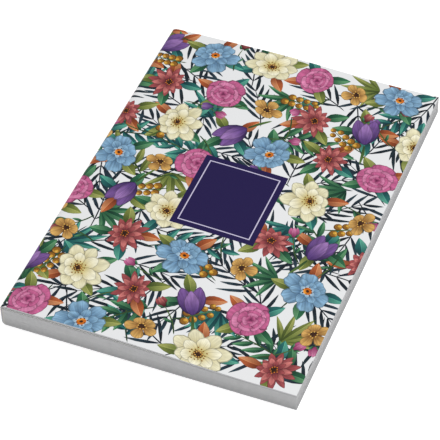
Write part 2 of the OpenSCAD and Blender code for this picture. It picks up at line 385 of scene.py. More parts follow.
# Half widths of stems and leaflets, and other sizes within a motif that don't grow with it, in millimetres
FROND_STEM = 0.36
LEAFLET_HALF = 0.98
LEAFLET_REACH = 17.5
BUD_STEM = 0.42
BUD_LEAF = 0.9
SPRIG_STEM = 0.4
BERRY_R = 2.25
BERRY_OFF = 2.3
TWIG_STEM = 0.5


def stem(place, half_w, length, bend, ink="stem", shade=1.0, steps=6):
    stamp(place, blade(half_w, length, 0.7, 0.4, steps, 0, bend), half_w, length, ink, shade)


def frond(row, count=5):
    """A dark frond with narrow leaflets in pairs."""
    place, length = place_of(row), row[2] * BOOK_W
    bend = 0.14 if row[3] % 2 else -0.12
    stem(place, FROND_STEM, length, bend, "dark")
    for i in range(1, count + 1):
        t = i / (count + 0.4)
        at = place @ step(bend * length * t * t, length * t, -math.degrees(2 * bend * t))
        reach = LEAFLET_REACH * (1 - 0.40 * t) * (1 + 0.18 * math.sin(9 * i + row[3]))
        for side in (-1, 1):
            outline = blade(LEAFLET_HALF, reach, 0.9, 0.8, 5, 0, 0.12 * side)
            shade = 1 + 0.35 * (side > 0)
            stamp(at @ step(turn=side * (46 - 18 * t)), outline, LEAFLET_HALF, reach, "dark", shade)


def bud(row, ink):
    """A closed bud with two green sepals, on a bowed stem."""
    place, length = place_of(row), row[2] * BOOK_W
    bend = 0.30 if row[3] % 2 else -0.30
    stem(place, BUD_STEM, length, bend, shade=0.9)
    leaf_turn = -60 if bend > 0 else 60
    leaf(place @ step(0.16 * bend * length, 0.4 * length, leaf_turn), BUD_LEAF, 0.3 * length, "green")
    tip = place @ step(0.9 * bend * length, 0.95 * length, -math.degrees(1.7 * bend))
    size = 0.36 * length
    petal(tip @ step(-0.10 * size, 0, 9), 0.26 * size, size, 0.9, 0.7, ink, streak=0.8)
    petal(tip @ step(0.10 * size, 0, -9), 0.26 * size, size, 0.9, 0.7, ink, streak=0.8)
    front_ink = "purple_light" if ink == "purple" else ink + "_inner"
    petal(tip, 0.22 * size, 1.04 * size, 0.85, 0.7, front_ink, streak=0.8)
    for side in (-1, 1):
        leaf(tip @ step(0.12 * side * size, -0.06 * size, -34 * side), 0.10 * size, 0.55 * size, "green")


def sprig(row, count=9):
    """A sprig of small round blossom balls on a fine stem."""
    place, length = place_of(row), row[2] * BOOK_W
    bend = 0.15 if row[3] > 0 else -0.15
    stem(place, SPRIG_STEM, length, bend)
    for i in range(1, count + 1):
        t = 0.15 + 0.85 * i / count
        side = 0 if i == count else (1 if i % 2 else -1)
        radius = BERRY_R * (1.1 - 0.4 * t)
        ball = place @ step(bend * length * t * t + side * BERRY_OFF, length * t)
        spot(ball, radius, "mustard", 14, 0.7, 0.6)
        spot(ball @ step(-0.08 * radius, 0.10 * radius), 0.84 * radius, "mustard", 12, 1.12, 0.6)
        spot(ball @ step(-0.26 * radius, 0.28 * radius), 0.36 * radius, "mustard_light", 8)


def spray(row, ink, count=5):
    """Long leaves fanned from one foot."""
    place, length = place_of(row), row[2] * BOOK_W
    order = sorted(range(count), key=lambda i: -abs(i - (count - 1) / 2))
    for i in order:
        off = i - (count - 1) / 2
        size = 1 - 0.12 * abs(off)
        leaf(place @ step(turn=-24 * off), 0.10 * length * size, length * size, ink, 0.08 * off)


def branch(row, ink, pairs=5):
    """A curved twig with leaves in turn on its two sides."""
    place, length = place_of(row), row[2] * BOOK_W
    bend = 0.22 if row[3] % 2 else -0.22
    stem(place, TWIG_STEM, length, bend, shade=0.8, steps=7)
    for i in range(2 * pairs):
        t = 0.12 + 0.80 * i / (2 * pairs)
        side = 1 if i % 2 else -1
        turn = -math.degrees(2 * bend * t) + side * (56 - 16 * t)
        at = place @ step(bend * length * t * t, length * t, turn)
        size = 0.36 * length * (1.05 - 0.45 * t)
        leaf(at, 0.155 * size, size, ink, 0.12 * side)
    leaf(place @ step(0.84 * bend * length, 0.92 * length, -math.degrees(2 * bend)),
         0.045 * length, 0.26 * length, ink)


# Where the motifs stand: [across, along, size] as shares of the width, the height and the width, then a turn
# and, for some, the ink. The blossoms, tulips, sprigs and fronds are those of the part's source.

CREAM = [
    [0.66, 0.03, 0.095, 10], [0.165, 0.165, 0.095, 40], [0.335, 0.40, 0.09, 75],
    [0.755, 0.555, 0.092, 20], [0.205, 0.685, 0.09, 55], [1.0, 0.81, 0.09, 0], [0.41, 0.95, 0.092, 30]]
PINK = [
    [0.07, 0.04, 0.068, 15], [0.76, 0.165, 0.072, 50], [0.0, 0.40, 0.07, 80], [0.345, 0.57, 0.068, 5],
    [0.93, 0.675, 0.07, 35], [0.30, 0.815, 0.07, 65], [0.58, 0.945, 0.066, 25]]
BLUE = [
    [0.27, 0.02, 0.085, 20], [0.465, 0.285, 0.085, 60], [0.885, 0.29, 0.085, 0], [0.075, 0.54, 0.085, 45],
    [0.555, 0.66, 0.082, 10], [0.20, 0.94, 0.085, 70], [0.88, 0.955, 0.083, 30]]
WINE = [
    [0.90, 0.05, 0.075, 0], [0.37, 0.15, 0.07, 30], [0.245, 0.30, 0.075, 10], [0.70, 0.405, 0.072, 50],
    [1.01, 0.41, 0.065, 20], [0.015, 0.68, 0.068, 40], [0.745, 0.70, 0.068, 60], [0.10, 0.81, 0.075, 5],
    [0.64, 0.81, 0.075, 35]]
PURPLE = [
    [0.0, 0.155, 0.062, -30], [0.56, 0.165, 0.06, 25], [0.165, 0.42, 0.06, 160], [0.86, 0.42, 0.06, -20],
    [0.40, 0.69, 0.062, 140], [0.82, 0.82, 0.062, 15], [0.03, 0.945, 0.06, -50]]
OCHRE = [
    [0.455, 0.055, 0.05, 0], [0.965, 0.175, 0.05, 25], [0.055, 0.27, 0.05, 50], [0.655, 0.30, 0.05, 15],
    [0.225, 0.545, 0.048, 40], [0.945, 0.53, 0.05, 60], [0.47, 0.80, 0.05, 10], [0.73, 0.935, 0.05, 35]]
SPRIGS = [
    [0.53, 0.10, 0.15, -60], [0.09, 0.22, 0.14, 170], [0.60, 0.24, 0.14, 60], [0.30, 0.47, 0.14, 120],
    [0.84, 0.48, 0.14, -75], [0.14, 0.615, 0.15, -40], [0.84, 0.75, 0.14, 70], [0.48, 0.86, 0.14, -100],
    [0.12, 0.89, 0.13, 100]]
FRONDS = [
    [0.17, 0.10, 0.20, -160], [0.80, 0.10, 0.20, -70], [0.27, 0.22, 0.20, -85], [0.46, 0.21, 0.18, 150],
    [0.76, 0.24, 0.19, 75], [0.10, 0.34, 0.19, 60], [0.72, 0.34, 0.18, -20], [0.08, 0.47, 0.20, -70],
    [0.80, 0.49, 0.20, 170], [0.90, 0.60, 0.19, -140], [0.29, 0.63, 0.20, -100], [0.48, 0.74, 0.19, 20],
    [0.85, 0.73, 0.18, -20], [0.20, 0.83, 0.20, 80], [0.38, 0.86, 0.19, 10], [0.72, 0.87, 0.19, 60]]
SPRAYS = [
    [0.02, 0.09, 0.14, 40, "green"], [0.66, 0.16, 0.15, 170, "teal"], [0.88, 0.13, 0.14, -30, "olive"],
    [0.08, 0.23, 0.14, -60, "teal"], [0.78, 0.30, 0.14, 100, "green"], [0.13, 0.35, 0.15, -100, "green"],
    [0.74, 0.46, 0.14, 150, "teal"], [0.28, 0.52, 0.15, -160, "olive"], [0.85, 0.62, 0.15, 130, "green"],
    [0.31, 0.73, 0.15, 45, "teal"], [0.02, 0.79, 0.14, 30, "teal"], [0.54, 0.86, 0.15, 130, "green"],
    [0.80, 0.97, 0.14, 100, "olive"], [-0.04, 0.58, 0.12, -170, "green"]]
BRANCHES = [
    [0.44, 0.00, 0.27, 31, "teal"], [0.97, 0.06, 0.26, 60, "green"], [0.47, 0.12, 0.27, 120, "green"],
    [0.33, 0.28, 0.26, -61, "teal"], [0.93, 0.36, 0.27, 28, "green"], [0.20, 0.48, 0.26, 40, "olive"],
    [0.02, 0.60, 0.26, -71, "teal"], [0.43, 0.60, 0.27, 95, "teal"], [0.52, 0.72, 0.26, -75, "green"],
    [0.97, 0.93, 0.26, 130, "teal"]]
BUDS = [
    [0.24, 0.075, 0.12, -31, "pink"], [0.56, 0.06, 0.12, 20, "wine"], [0.83, 0.07, 0.12, -70, "pink"],
    [0.12, 0.10, 0.11, 171, "purple"], [0.45, 0.20, 0.12, 95, "pink"], [0.83, 0.22, 0.12, -15, "wine"],
    [0.17, 0.25, 0.12, 60, "pink"], [0.58, 0.31, 0.11, 31, "purple"], [0.94, 0.22, 0.12, -141, "pink"],
    [0.12, 0.33, 0.12, 151, "wine"], [0.82, 0.36, 0.12, 45, "pink"], [0.24, 0.49, 0.12, -45, "purple"],
    [0.93, 0.41, 0.12, 175, "wine"], [0.15, 0.63, 0.12, 101, "pink"], [0.67, 0.58, 0.12, 60, "purple"],
    [0.86, 0.57, 0.12, -95, "pink"], [0.30, 0.66, 0.12, -121, "wine"], [0.48, 0.69, 0.12, -51, "pink"],
    [0.80, 0.77, 0.12, 15, "wine"], [0.19, 0.76, 0.12, -81, "pink"], [0.40, 0.80, 0.12, 131, "purple"],
    [0.56, 0.80, 0.12, -155, "pink"], [0.94, 0.79, 0.12, 65, "purple"], [0.29, 0.90, 0.12, 21, "wine"],
    [0.65, 0.90, 0.12, 161, "pink"], [0.78, 0.90, 0.12, -61, "wine"], [0.10, 0.97, 0.12, 91, "pink"]]
# Motifs that stand on the spine or run over its edge, each with the function that draws it
ON_SPINE = (
    (wine_blossom, [-0.045, 0.05, 0.055, 20]), (blue_blossom, [-0.05, 0.26, 0.055, 30]),
    (ochre_blossom, [-0.03, 0.33, 0.042, 0]), (cream_blossom, [-0.045, 0.50, 0.06, 10]),
    (ochre_blossom, [-0.03, 0.595, 0.042, 40]), (pink_blossom, [-0.05, 0.79, 0.055, 0]),
    (blue_blossom, [-0.045, 0.885, 0.05, 60]), (ochre_blossom, [-0.04, 0.985, 0.042, 10]))

# Leaves round the blossoms. Their feet stand at this share of the blossom's size from its middle.
LEAF_INKS = ("rust", "olive", "green", "teal")
LEAF_LONG = 0.085 * BOOK_W
LEAF_HALF = 0.021 * BOOK_W
LEAF_FOOT = 0.5

# The staggered grid of scattered fronds, in shares of its own steps and, for the last three, of the width
FROND_COLUMNS = 8
FROND_ROWS = 10
FROND_STAGGER = 0.5
FROND_JITTER = 0.2
FROND_MARGIN = 0.08
FROND_APART = 0.09
FROND_SIZES = (0.19, 0.24)

# The pale line on the label: how far in it stands and how wide it is, in millimetres
LABEL_MARGIN = 3.0
LABEL_LINE = 0.6


def leaves_round(rows):
    """Leaves that stand out round each blossom, one of each ink."""
    for layer, ink in enumerate(LEAF_INKS):
        for i, row in enumerate(rows):
            place = place_of(row) @ step(turn=90 * ((i + layer) % 4))
            bend = 0.10 if (i + layer) % 2 else -0.10
            leaf(place @ step(y=LEAF_FOOT * row[2] * BOOK_W), LEAF_HALF, LEAF_LONG, ink, bend)


def draw_label():
    """The dark label field with a fine pale line inside its edge."""
    u0, u1 = (c / MM - SPINE_X for c in (label_low.x, label_high.x))
    v0, v1 = (c / MM - TAIL_Y for c in (label_low.y, label_high.y))
    middle = step((u0 + u1) / 2, (v0 + v1) / 2)
    for inset, ink in ((0, "navy"), (LABEL_MARGIN, "pale_line"), (LABEL_MARGIN + LABEL_LINE, "navy")):
        w, h = (u1 - u0) / 2 - inset, (v1 - v0) / 2 - inset
        stamp(middle, [[-w, -h], [w, -h], [w, h], [-w, h]], w, h, ink)


def middle_of(row):
    """The place halfway up a motif that grows from its foot."""
    return (place_of(row) @ [0, 0.5 * row[2] * BOOK_W, 1])[:2]


def scattered_fronds():
    """Fronds whose middles stand on an uneven grid all over the sheet, so that every gap shows some. Where a
    listed one is near, the grid has none."""
    draw = random.Random(11)
    listed = [middle_of(row) for row in FRONDS]
    for i in range(FROND_COLUMNS):
        for k in range(FROND_ROWS):
            column = i + FROND_STAGGER * (k % 2) + draw.uniform(-FROND_JITTER, FROND_JITTER)
            across = column / (FROND_COLUMNS - 1) - FROND_MARGIN
            along = (k + 0.5 + draw.uniform(-FROND_JITTER, FROND_JITTER)) / FROND_ROWS
            size = draw.uniform(*FROND_SIZES)
            turn = draw.randrange(360)
            foot = step(across * BOOK_W, along * BOOK_L, turn) @ [0, -0.5 * size * BOOK_W, 1]
            row = [foot[0] / BOOK_W, foot[1] / BOOK_L, size, turn]
            if min(math.dist(middle_of(row), place) for place in listed) > FROND_APART * BOOK_W:
                frond(row)


def draw_print():
    """The whole print, layer on layer."""
    scattered_fronds()
    for row in FRONDS:
        frond(row)
    for row in BRANCHES:
        branch(row, row[4])
    for row in SPRAYS:
        spray(row, row[4])
    leaves_round([row for _, row in ON_SPINE])
    leaves_round(CREAM + PINK + BLUE + WINE + PURPLE)
    for row in BUDS:
        bud(row, row[4])
    for row in SPRIGS:
        sprig(row)
    for draw, row in ON_SPINE:
        draw(row)
    for rows, draw in (
            (OCHRE, ochre_blossom), (PURPLE, tulip), (WINE, wine_blossom),
            (PINK, pink_blossom), (BLUE, blue_blossom), (CREAM, cream_blossom)):
        for row in rows:
            draw(row)
    draw_label()


# The sheet: the print's outlines cut into one flat mesh, which is then bent along the profile

# Distances between the lines of points across a sheet, on each of its stretches
BEND_STEP = 0.45
HINGE_STEP = 0.75
SLOPE_STEP = 4.0
BACK_STEP = 12.0
FOLD_STEP = 0.4

# How far the lines of the bend and the fold reach past them, and how far the back's stay off its ends
HINGE_REACH = 4.0
FOLD_REACH = 9.0
BACK_MARGIN = 10.0

# Points this close are one, and a point this close to a straight border is left out
WELD = 1e-4
STRAIGHT = 0.006

# Kinds of face, which are also a sheet's material slots
OUTSIDE = 0
CUT_EDGE = 1
INSIDE = 2


def bend_lines():
    """Places along the front path, where it is curved or turns with the cover, that need a line of points."""
    shoulder_foot = SPINE_T - SHOULDER_H - FOLD_R + FRONT.u[0]
    shoulder = np.arange(shoulder_foot, SHOULDER_W, BEND_STEP)
    hinge = np.arange(SHOULDER_W + HINGE_STEP, HINGE_U + HINGE_REACH, HINGE_STEP)
    slope = np.arange(SLOPE_START - SPINE_X, SLOPE_END - SPINE_X, SLOPE_STEP)
    return np.concatenate([shoulder, hinge, slope])


def cut(verts, edges, outlines, lines, low, high):
    """Triangles of the rectangle low to high, cut along edges, outlines and lines across it, with each
    triangle's topmost outline, or -1."""
    verts = [*verts, (low[0], low[1]), (high[0], low[1]), (high[0], high[1]), (low[0], high[1])]
    faces = [list(range(len(verts) - 4, len(verts)))]
    for points in outlines:
        faces.append(list(range(len(verts), len(verts) + len(points))))
        verts.extend(map(tuple, points))
    edges = list(edges)
    for u in lines:
        edges.append((len(verts), len(verts) + 1))
        verts.extend([(u, low[1]), (u, high[1])])
    out = delaunay_2d_cdt([Vector(v) for v in verts], edges, faces, 1, WELD, True)
    kept = [(t, max(o) - 1) for t, o in zip(out[2], out[5]) if 0 in o]
    return np.array([tuple(v) for v in out[0]]), [t for t, _ in kept], [o for _, o in kept]


def ink_borders(flat, triangles, owners):
    """The edges where the ink changes, with the points that lie straight on such a line left out."""
    owner_of = {}
    for t, owner in zip(triangles, owners):
        for a, b in zip(t, t[1:] + t[:1]):
            owner_of[a, b] = owner
    near = {}
    for (a, b), owner in owner_of.items():
        if owner_of.get((b, a), owner) != owner:
            near.setdefault(a, set()).add(b)
    for v in list(near):
        if len(near[v]) != 2:
            continue
        a, b = near[v]
        chord, arm = flat[b] - flat[a], flat[v] - flat[a]
        if abs(chord[0] * arm[1] - chord[1] * arm[0]) < STRAIGHT * np.linalg.norm(chord) and b not in near[a]:
            del near[v]
            near[a] = near[a] - {v} | {b}
            near[b] = near[b] - {v} | {a}
    index = {v: i for i, v in enumerate(near)}
    edges = [(index[a], index[b]) for a in near for b in near[a] if a < b]
    return [tuple(flat[v]) for v in near], edges


def cut_print(outlines, lines, low, high):
    """The outlines are cut first, and the rectangle again along the borders that still show."""
    flat, triangles, owners = cut([], [], outlines, [], low, high)
    finder = BVHTree.FromPolygons([(x, y, 0) for x, y in flat], triangles)
    verts, edges = ink_borders(flat, triangles, owners)
    flat, triangles, _ = cut(verts, edges, [], lines, low, high)
    down = Vector((0, 0, -1))
    found = [finder.ray_cast(Vector((*flat[t].mean(axis=0), 1)), down)[2] for t in triangles]
    return flat, triangles, [-1 if f is None else owners[f] for f in found]


def rim_of(triangles):
    """The points round the rim of the triangles, in order."""
    sides = {(a, b) for t in triangles for a, b in zip(t, t[1:] + t[:1])}
    follow = {a: b for a, b in sides if (b, a) not in sides}
    rim = [min(follow)]
    while follow[rim[-1]] != rim[0]:
        rim.append(follow[rim[-1]])
    return rim


def backing(points, lines):
    """Triangles over a rim of points, counted from 0, with no points inside it."""
    low, high = points.min(axis=0), points.max(axis=0)
    ends = [(u, y) for u in lines for y in (low[1], high[1])]
    edges = [(len(points) + i, len(points) + i + 1) for i in range(0, len(ends), 2)]
    verts = [Vector(v) for v in [*map(tuple, points), *ends]]
    out = delaunay_2d_cdt(verts, edges, [list(range(len(points)))], 1, WELD, True)
    first = [min(o) for o in out[3]]
    return [[first[i] for i in t] for t in out[2]]


def sheet_mesh(name, path, flat, triangles, lines, thickness, cut_shade_at):
    """A closed sheet: the cut triangles outside, a plain backing one card thickness in, and walls round the
    rim. The walls are the card's cut edge, and the given function says how far painted shade darkens it along
    the sheet."""
    rim = rim_of(triangles)
    count = len(flat)
    verts = []
    for points, depth in ((flat, 0), (flat[rim], thickness)):
        xz = path.at(points[:, 0], depth)
        verts.append(np.column_stack([xz[:, 0], points[:, 1] + TAIL_Y, xz[:, 1]]) * MM)
    inner = [[i + count for i in reversed(t)] for t in backing(flat[rim], lines)]
    after = rim[1:] + rim[:1]
    size = len(rim)
    walls = [[count + i, count + (i + 1) % size, after[i], rim[i]] for i in range(size)]
    mesh = bpy.data.meshes.new(name)
    mesh.from_pydata(np.vstack(verts).tolist(), [], triangles + inner + walls)
    kinds = np.repeat([OUTSIDE, INSIDE, CUT_EDGE], [len(triangles), len(inner), len(walls)])
    mesh.polygons.foreach_set("material_index", kinds.astype(np.int32))
    mesh.polygons.foreach_set("use_smooth", kinds != CUT_EDGE)
    tones = np.ones(len(kinds), np.float32)
    tones[-size:] = cut_shade_at((flat[rim, 0] + flat[after, 0]) / 2)
    mesh.attributes.new("cut_shade", "FLOAT", "FACE").data.foreach_set("value", tones)
    mesh.update()
    sizes = np.zeros(len(mesh.polygons), np.int32)
    mesh.polygons.foreach_get("loop_total", sizes)
    loop_kinds = np.repeat(kinds, sizes)
    sharpen(mesh, loop_kinds)
    lay_out(mesh, loop_kinds, np.vstack([flat, flat[rim]]))
    return mesh


# Where the two sides and the cut edges stand across the baking map, as shares of its width
PRINTED_SHARES = (0.004, 0.856)
PLAIN_SHARES = (0.964, 0.868)
EDGE_FROM_SHARE = 0.972
EDGE_STEP_SHARE = 0.007
EDGE_WIDTH_SHARE = 0.004


def lay_out(mesh, loop_kinds, places):
    """The map that the model's textures are baked through. The outer side takes most of it, so that the print
    stays sharp, and each cut edge has a column."""
    corners = np.zeros(len(mesh.loops), np.int32)
    mesh.loops.foreach_get("vertex_index", corners)
    low, high = places.min(axis=0), places.max(axis=0)
    share = ((places - low) / (high - low))[corners]
    across, along = share[:, 0].copy(), share[:, 1].copy()
    for kind, (start, end) in ((OUTSIDE, PRINTED_SHARES), (INSIDE, PLAIN_SHARES)):
        on = loop_kinds == kind
        across[on] = start + (end - start) * share[on, 0]
    on = loop_kinds == CUT_EDGE
    walls = share[on].reshape(-1, 4, 2)
    run = np.abs(walls[:, 0] - walls[:, 1])
    upright = run[:, 1] > run[:, 0]
    far = np.where(upright, walls[:, 0, 0], walls[:, 0, 1]) > 0.5
    column = EDGE_FROM_SHARE + EDGE_STEP_SHARE * (2 * upright + far)
    across[on] = (column[:, None] + EDGE_WIDTH_SHARE * np.array([0, 0, 1, 1])).ravel()
    along[on] = np.where(upright[:, None], walls[:, :, 1], walls[:, :, 0]).ravel()
    mesh.uv_layers.new(name="OFBake").uv.foreach_set("vector", np.column_stack([across, along]).ravel())


def sharpen(mesh, loop_kinds):
    """Marks the edges between faces of different kinds as sharp."""
    loop_edges = np.zeros(len(mesh.loops), np.int32)
    mesh.loops.foreach_get("edge_index", loop_edges)
    low = np.full(len(mesh.edges), INSIDE)
    high = np.full(len(mesh.edges), OUTSIDE)
    np.minimum.at(low, loop_edges, loop_kinds)
    np.maximum.at(high, loop_edges, loop_kinds)
    sharp = mesh.attributes.new("sharp_edge", "BOOLEAN", "EDGE")
    sharp.data.foreach_set("value", low != high)


def ink_corners(mesh, flat, triangles, owners):
    """Writes each corner's two ink colours and its place in its own motif."""
    feet = np.full((len(mesh.loops), 4), (*linear(GROUND), 0), np.float32)
    tips = feet.copy()
    own = np.zeros((len(mesh.loops), 2), np.float32)
    for t, (triangle, owner) in enumerate(zip(triangles, owners)):
        if owner < 0:
            continue
        shape = shapes[owner]
        own[3 * t:3 * t + 3] = through(shape["own"], flat[triangle])
        feet[3 * t:3 * t + 3] = shape["foot"]
        tips[3 * t:3 * t + 3] = shape["tip"]
    for name, values in (("ink_foot", feet), ("ink_tip", tips)):
        mesh.color_attributes.new(name, "FLOAT_COLOR", "CORNER").data.foreach_set("color", values.ravel())
    mesh.uv_layers.new(name="motif").data.foreach_set("uv", own.ravel())


def link(name, mesh, materials):
    piece = bpy.data.objects.new(name, mesh)
    bpy.context.scene.collection.objects.link(piece)
    for material in materials:
        mesh.materials.append(material)
    return piece


# Materials: tones in display values, and the heights in millimetres over which the page edges are painted
# darker towards the floor, as painted shade

# The page edges are greyer than the paper's face: the trimmed edge's own tone with painted shade of the gaps
# between the leaves in it
PAGE_EDGE = (182, 182, 183)
PAINTED_SHADE_FROM = 0.0
PAINTED_SHADE_TO = 7.5
PAINTED_SHADE_LEVEL = 0.78
PAGE_FACE = (226, 226, 224)
CARD_WHITE = (228, 229, 230)
CARD_EDGE = (186, 186, 188)
GLUE_TONE = (178, 176, 170)
FLOOR_TONE = (252, 252, 252)


def node_tree(name, roughness, specular=0.35):
    """A material with one principled shader, its node maker and its link maker."""
    material = bpy.data.materials.new(name)
    material.use_nodes = True
    tree = material.node_tree
    shader = tree.nodes["Principled BSDF"]
    shader.inputs["Roughness"].default_value = roughness
    shader.inputs["Specular IOR Level"].default_value = specular

    def make(kind, inputs=None, **settings):
        node = tree.nodes.new(kind)
        for key, value in settings.items():
            setattr(node, key, value)
        for key, value in (inputs or {}).items():
            if isinstance(value, bpy.types.NodeSocket):
                tree.links.new(value, node.inputs[key])
            else:
                node.inputs[key].default_value = value
        return node

    return material, shader, make, tree.links.new


def math_node(make, operation, *values, clamp=False):
    return make("ShaderNodeMath", dict(enumerate(values)), operation=operation, use_clamp=clamp).outputs[0]


def mix_colour(make, factor, a, b, blend="MIX"):
    node = make("ShaderNodeMix", {0: factor, 6: a, 7: b}, data_type="RGBA", blend_type=blend)
    return node.outputs[2]


def map_range(make, value, low, high, to_low, to_high, kind="LINEAR"):
    inputs = {"Value": value, 1: low, 2: high, 3: to_low, 4: to_high}
    return make("ShaderNodeMapRange", inputs, interpolation_type=kind).outputs[0]


def fine_bump(make, join, shader, height, distance, strength):
    bump = make("ShaderNodeBump", {"Height": height, "Distance": distance, "Strength": strength})
    join(bump.outputs["Normal"], shader.inputs["Normal"])


def print_material():
    """Matt laminated card with the print: ink from foot to tip, streaks along petals and veins in leaves."""
    material, shader, make, join = node_tree("printed_card", 0.42, 0.15)
    foot = make("ShaderNodeAttribute", attribute_name="ink_foot")
    tip = make("ShaderNodeAttribute", attribute_name="ink_tip")
    own = make("ShaderNodeSeparateXYZ", {0: make("ShaderNodeUVMap", uv_map="motif").outputs[0]})
    across, along = own.outputs[0], own.outputs[1]
    where = make("ShaderNodeTexCoord").outputs["Object"]
    place = make("ShaderNodeSeparateXYZ", {0: where})

    rise = map_range(make, along, 0.05, 0.95, 0, 1, "SMOOTHSTEP")
    ink = mix_colour(make, rise, foot.outputs["Color"], tip.outputs["Color"])

    # Streaks fan out from the foot of the petal
    spread = math_node(make, "ADD", along, 0.35)
    fan = math_node(make, "DIVIDE", across, spread)
    fan_at = make("ShaderNodeCombineXYZ", {
        0: math_node(make, "MULTIPLY", fan, 3.2),
        1: math_node(make, "MULTIPLY", along, 0.9),
        2: math_node(make, "MULTIPLY", place.outputs[0], 90)})
    streaks = make("ShaderNodeTexNoise", {"Vector": fan_at.outputs[0], "Scale": 1.6, "Detail": 3.0})
    streak = map_range(make, streaks.outputs[0], 0.32, 0.68, -1, 1)
    streak_amount = math_node(make, "MULTIPLY", foot.outputs["Alpha"], 0.30)

    # Side veins run from the midrib towards the leaf's tip
    slant = math_node(make, "MULTIPLY", math_node(make, "ABSOLUTE", across), 0.16)
    wave = math_node(make, "PINGPONG", math_node(make, "SUBTRACT", along, slant), 0.055)
    vein = map_range(make, wave, 0.0, 0.016, 1, 0)
    vein_amount = math_node(make, "MULTIPLY", tip.outputs["Alpha"], 0.22)

    # Washes of the brush, over inked shapes only
    wash = make("ShaderNodeTexNoise", {"Vector": where, "Scale": 260.0, "Detail": 4.0, "Roughness": 0.6})
    wash_level = map_range(make, wash.outputs[0], 0.3, 0.7, -1, 1)
    inked = math_node(make, "MAXIMUM", foot.outputs["Alpha"], tip.outputs["Alpha"])
    wash_amount = math_node(make, "MULTIPLY", inked, 0.16)

    level = math_node(make, "MULTIPLY_ADD", streak, streak_amount, 1.0)
    level = math_node(make, "MULTIPLY_ADD", vein, vein_amount, level)
    level = math_node(make, "MULTIPLY_ADD", wash_level, wash_amount, level)
    lit = make("ShaderNodeVectorMath", {0: ink, "Scale": level}, operation="SCALE")
    join(lit.outputs[0], shader.inputs["Base Color"])

    # The laminate is very slightly uneven
    film = make("ShaderNodeTexNoise", {"Vector": where, "Scale": 900.0, "Detail": 2.0})
    join(map_range(make, film.outputs[0], 0.3, 0.7, 0.38, 0.47), shader.inputs["Roughness"])
    fine_bump(make, join, shader, film.outputs[0], 0.00003, 0.25)
    return material


def card_material(name, colour, roughness, fibre_scale, fibre_shade=0.06, tone=None):
    """Bare card or paper with faint fibres. A tone names the attribute that darkens it, such as the painted
    shade of a cut edge.
    """
    material, shader, make, join = node_tree(name, roughness, 0.25)
    where = make("ShaderNodeTexCoord").outputs["Object"]
    fibres = make("ShaderNodeTexNoise", {
        "Vector": where, "Scale": fibre_scale, "Detail": 5.0, "Roughness": 0.65})
    level = map_range(make, fibres.outputs[0], 0.3, 0.7, 1 - fibre_shade, 1 + fibre_shade / 3)
    if tone:
        darker = make("ShaderNodeAttribute", attribute_name=tone).outputs["Fac"]
        level = math_node(make, "MULTIPLY", level, darker)
    tint = make("ShaderNodeVectorMath", {0: tuple(linear(colour)), "Scale": level}, operation="SCALE")
    join(tint.outputs[0], shader.inputs["Base Color"])
    fine_bump(make, join, shader, fibres.outputs[0], 0.00005, 0.4)
    return material


def pages_material():
    """Trimmed paper edges: each leaf has its own slight tone, the knife leaves faint upright marks, and
    the lowest leaves are painted a little grey as painted shade near the floor. The leaf tones also carry
    painted shade between the leaves and under the cover."""
    material, shader, make, join = node_tree("page_edges", 0.85, 0.2)
    where = make("ShaderNodeTexCoord").outputs["Object"]
    leaf_tone_and_shade = make("ShaderNodeAttribute", attribute_name="leaf_tone_and_shade").outputs["Fac"]
    grain = make("ShaderNodeTexNoise", {"Vector": where, "Scale": 700.0, "Detail": 4.0})
    stretched = make("ShaderNodeVectorMath", {0: where, 1: (1.0, 1.0, 0.06)}, operation="MULTIPLY")
    marks = make("ShaderNodeTexNoise", {"Vector": stretched.outputs[0], "Scale": 420.0, "Detail": 3.0})
    level = map_range(make, grain.outputs[0], 0.3, 0.7, 0.97, 1.02)
    knife = map_range(make, marks.outputs[0], 0.3, 0.7, 0.975, 1.02)
    height = make("ShaderNodeSeparateXYZ", {0: where}).outputs[2]
    # Painted shade: the page edges grow darker towards the floor
    painted_shade = map_range(make, height, PAINTED_SHADE_FROM * MM, PAINTED_SHADE_TO * MM, PAINTED_SHADE_LEVEL, 1, "SMOOTHSTEP")
    level = math_node(make, "MULTIPLY", math_node(make, "MULTIPLY", level, knife), leaf_tone_and_shade)
    level = math_node(make, "MULTIPLY", level, painted_shade)
    tint = make("ShaderNodeVectorMath", {0: tuple(linear(PAGE_EDGE)), "Scale": level}, operation="SCALE")
    join(tint.outputs[0], shader.inputs["Base Color"])
    fine_bump(make, join, shader, grain.outputs[0], 0.00004, 0.4)
    return material


printed_card = print_material()
card_edge = card_material("card_edge", CARD_EDGE, 0.8, 2200.0, tone="cut_shade")
bare_card = card_material("bare_card", CARD_WHITE, 0.55, 1400.0, 0.03)
page_face = card_material("page_face", PAGE_FACE, 0.8, 1500.0, 0.03)
page_edges = pages_material()


# Pieces

# Painted shade: how dark the card's cut edge is painted on the spine and all along the back cover
SHADED_CUT = 0.72


def front_cut_shade(u):
    """The cut edge is painted darker on the spine, as painted shade, and keeps its own tone along the front
    cover.
    """
    return SHADED_CUT + (1 - SHADED_CUT) * np.clip(u / SHOULDER_W, 0, 1)


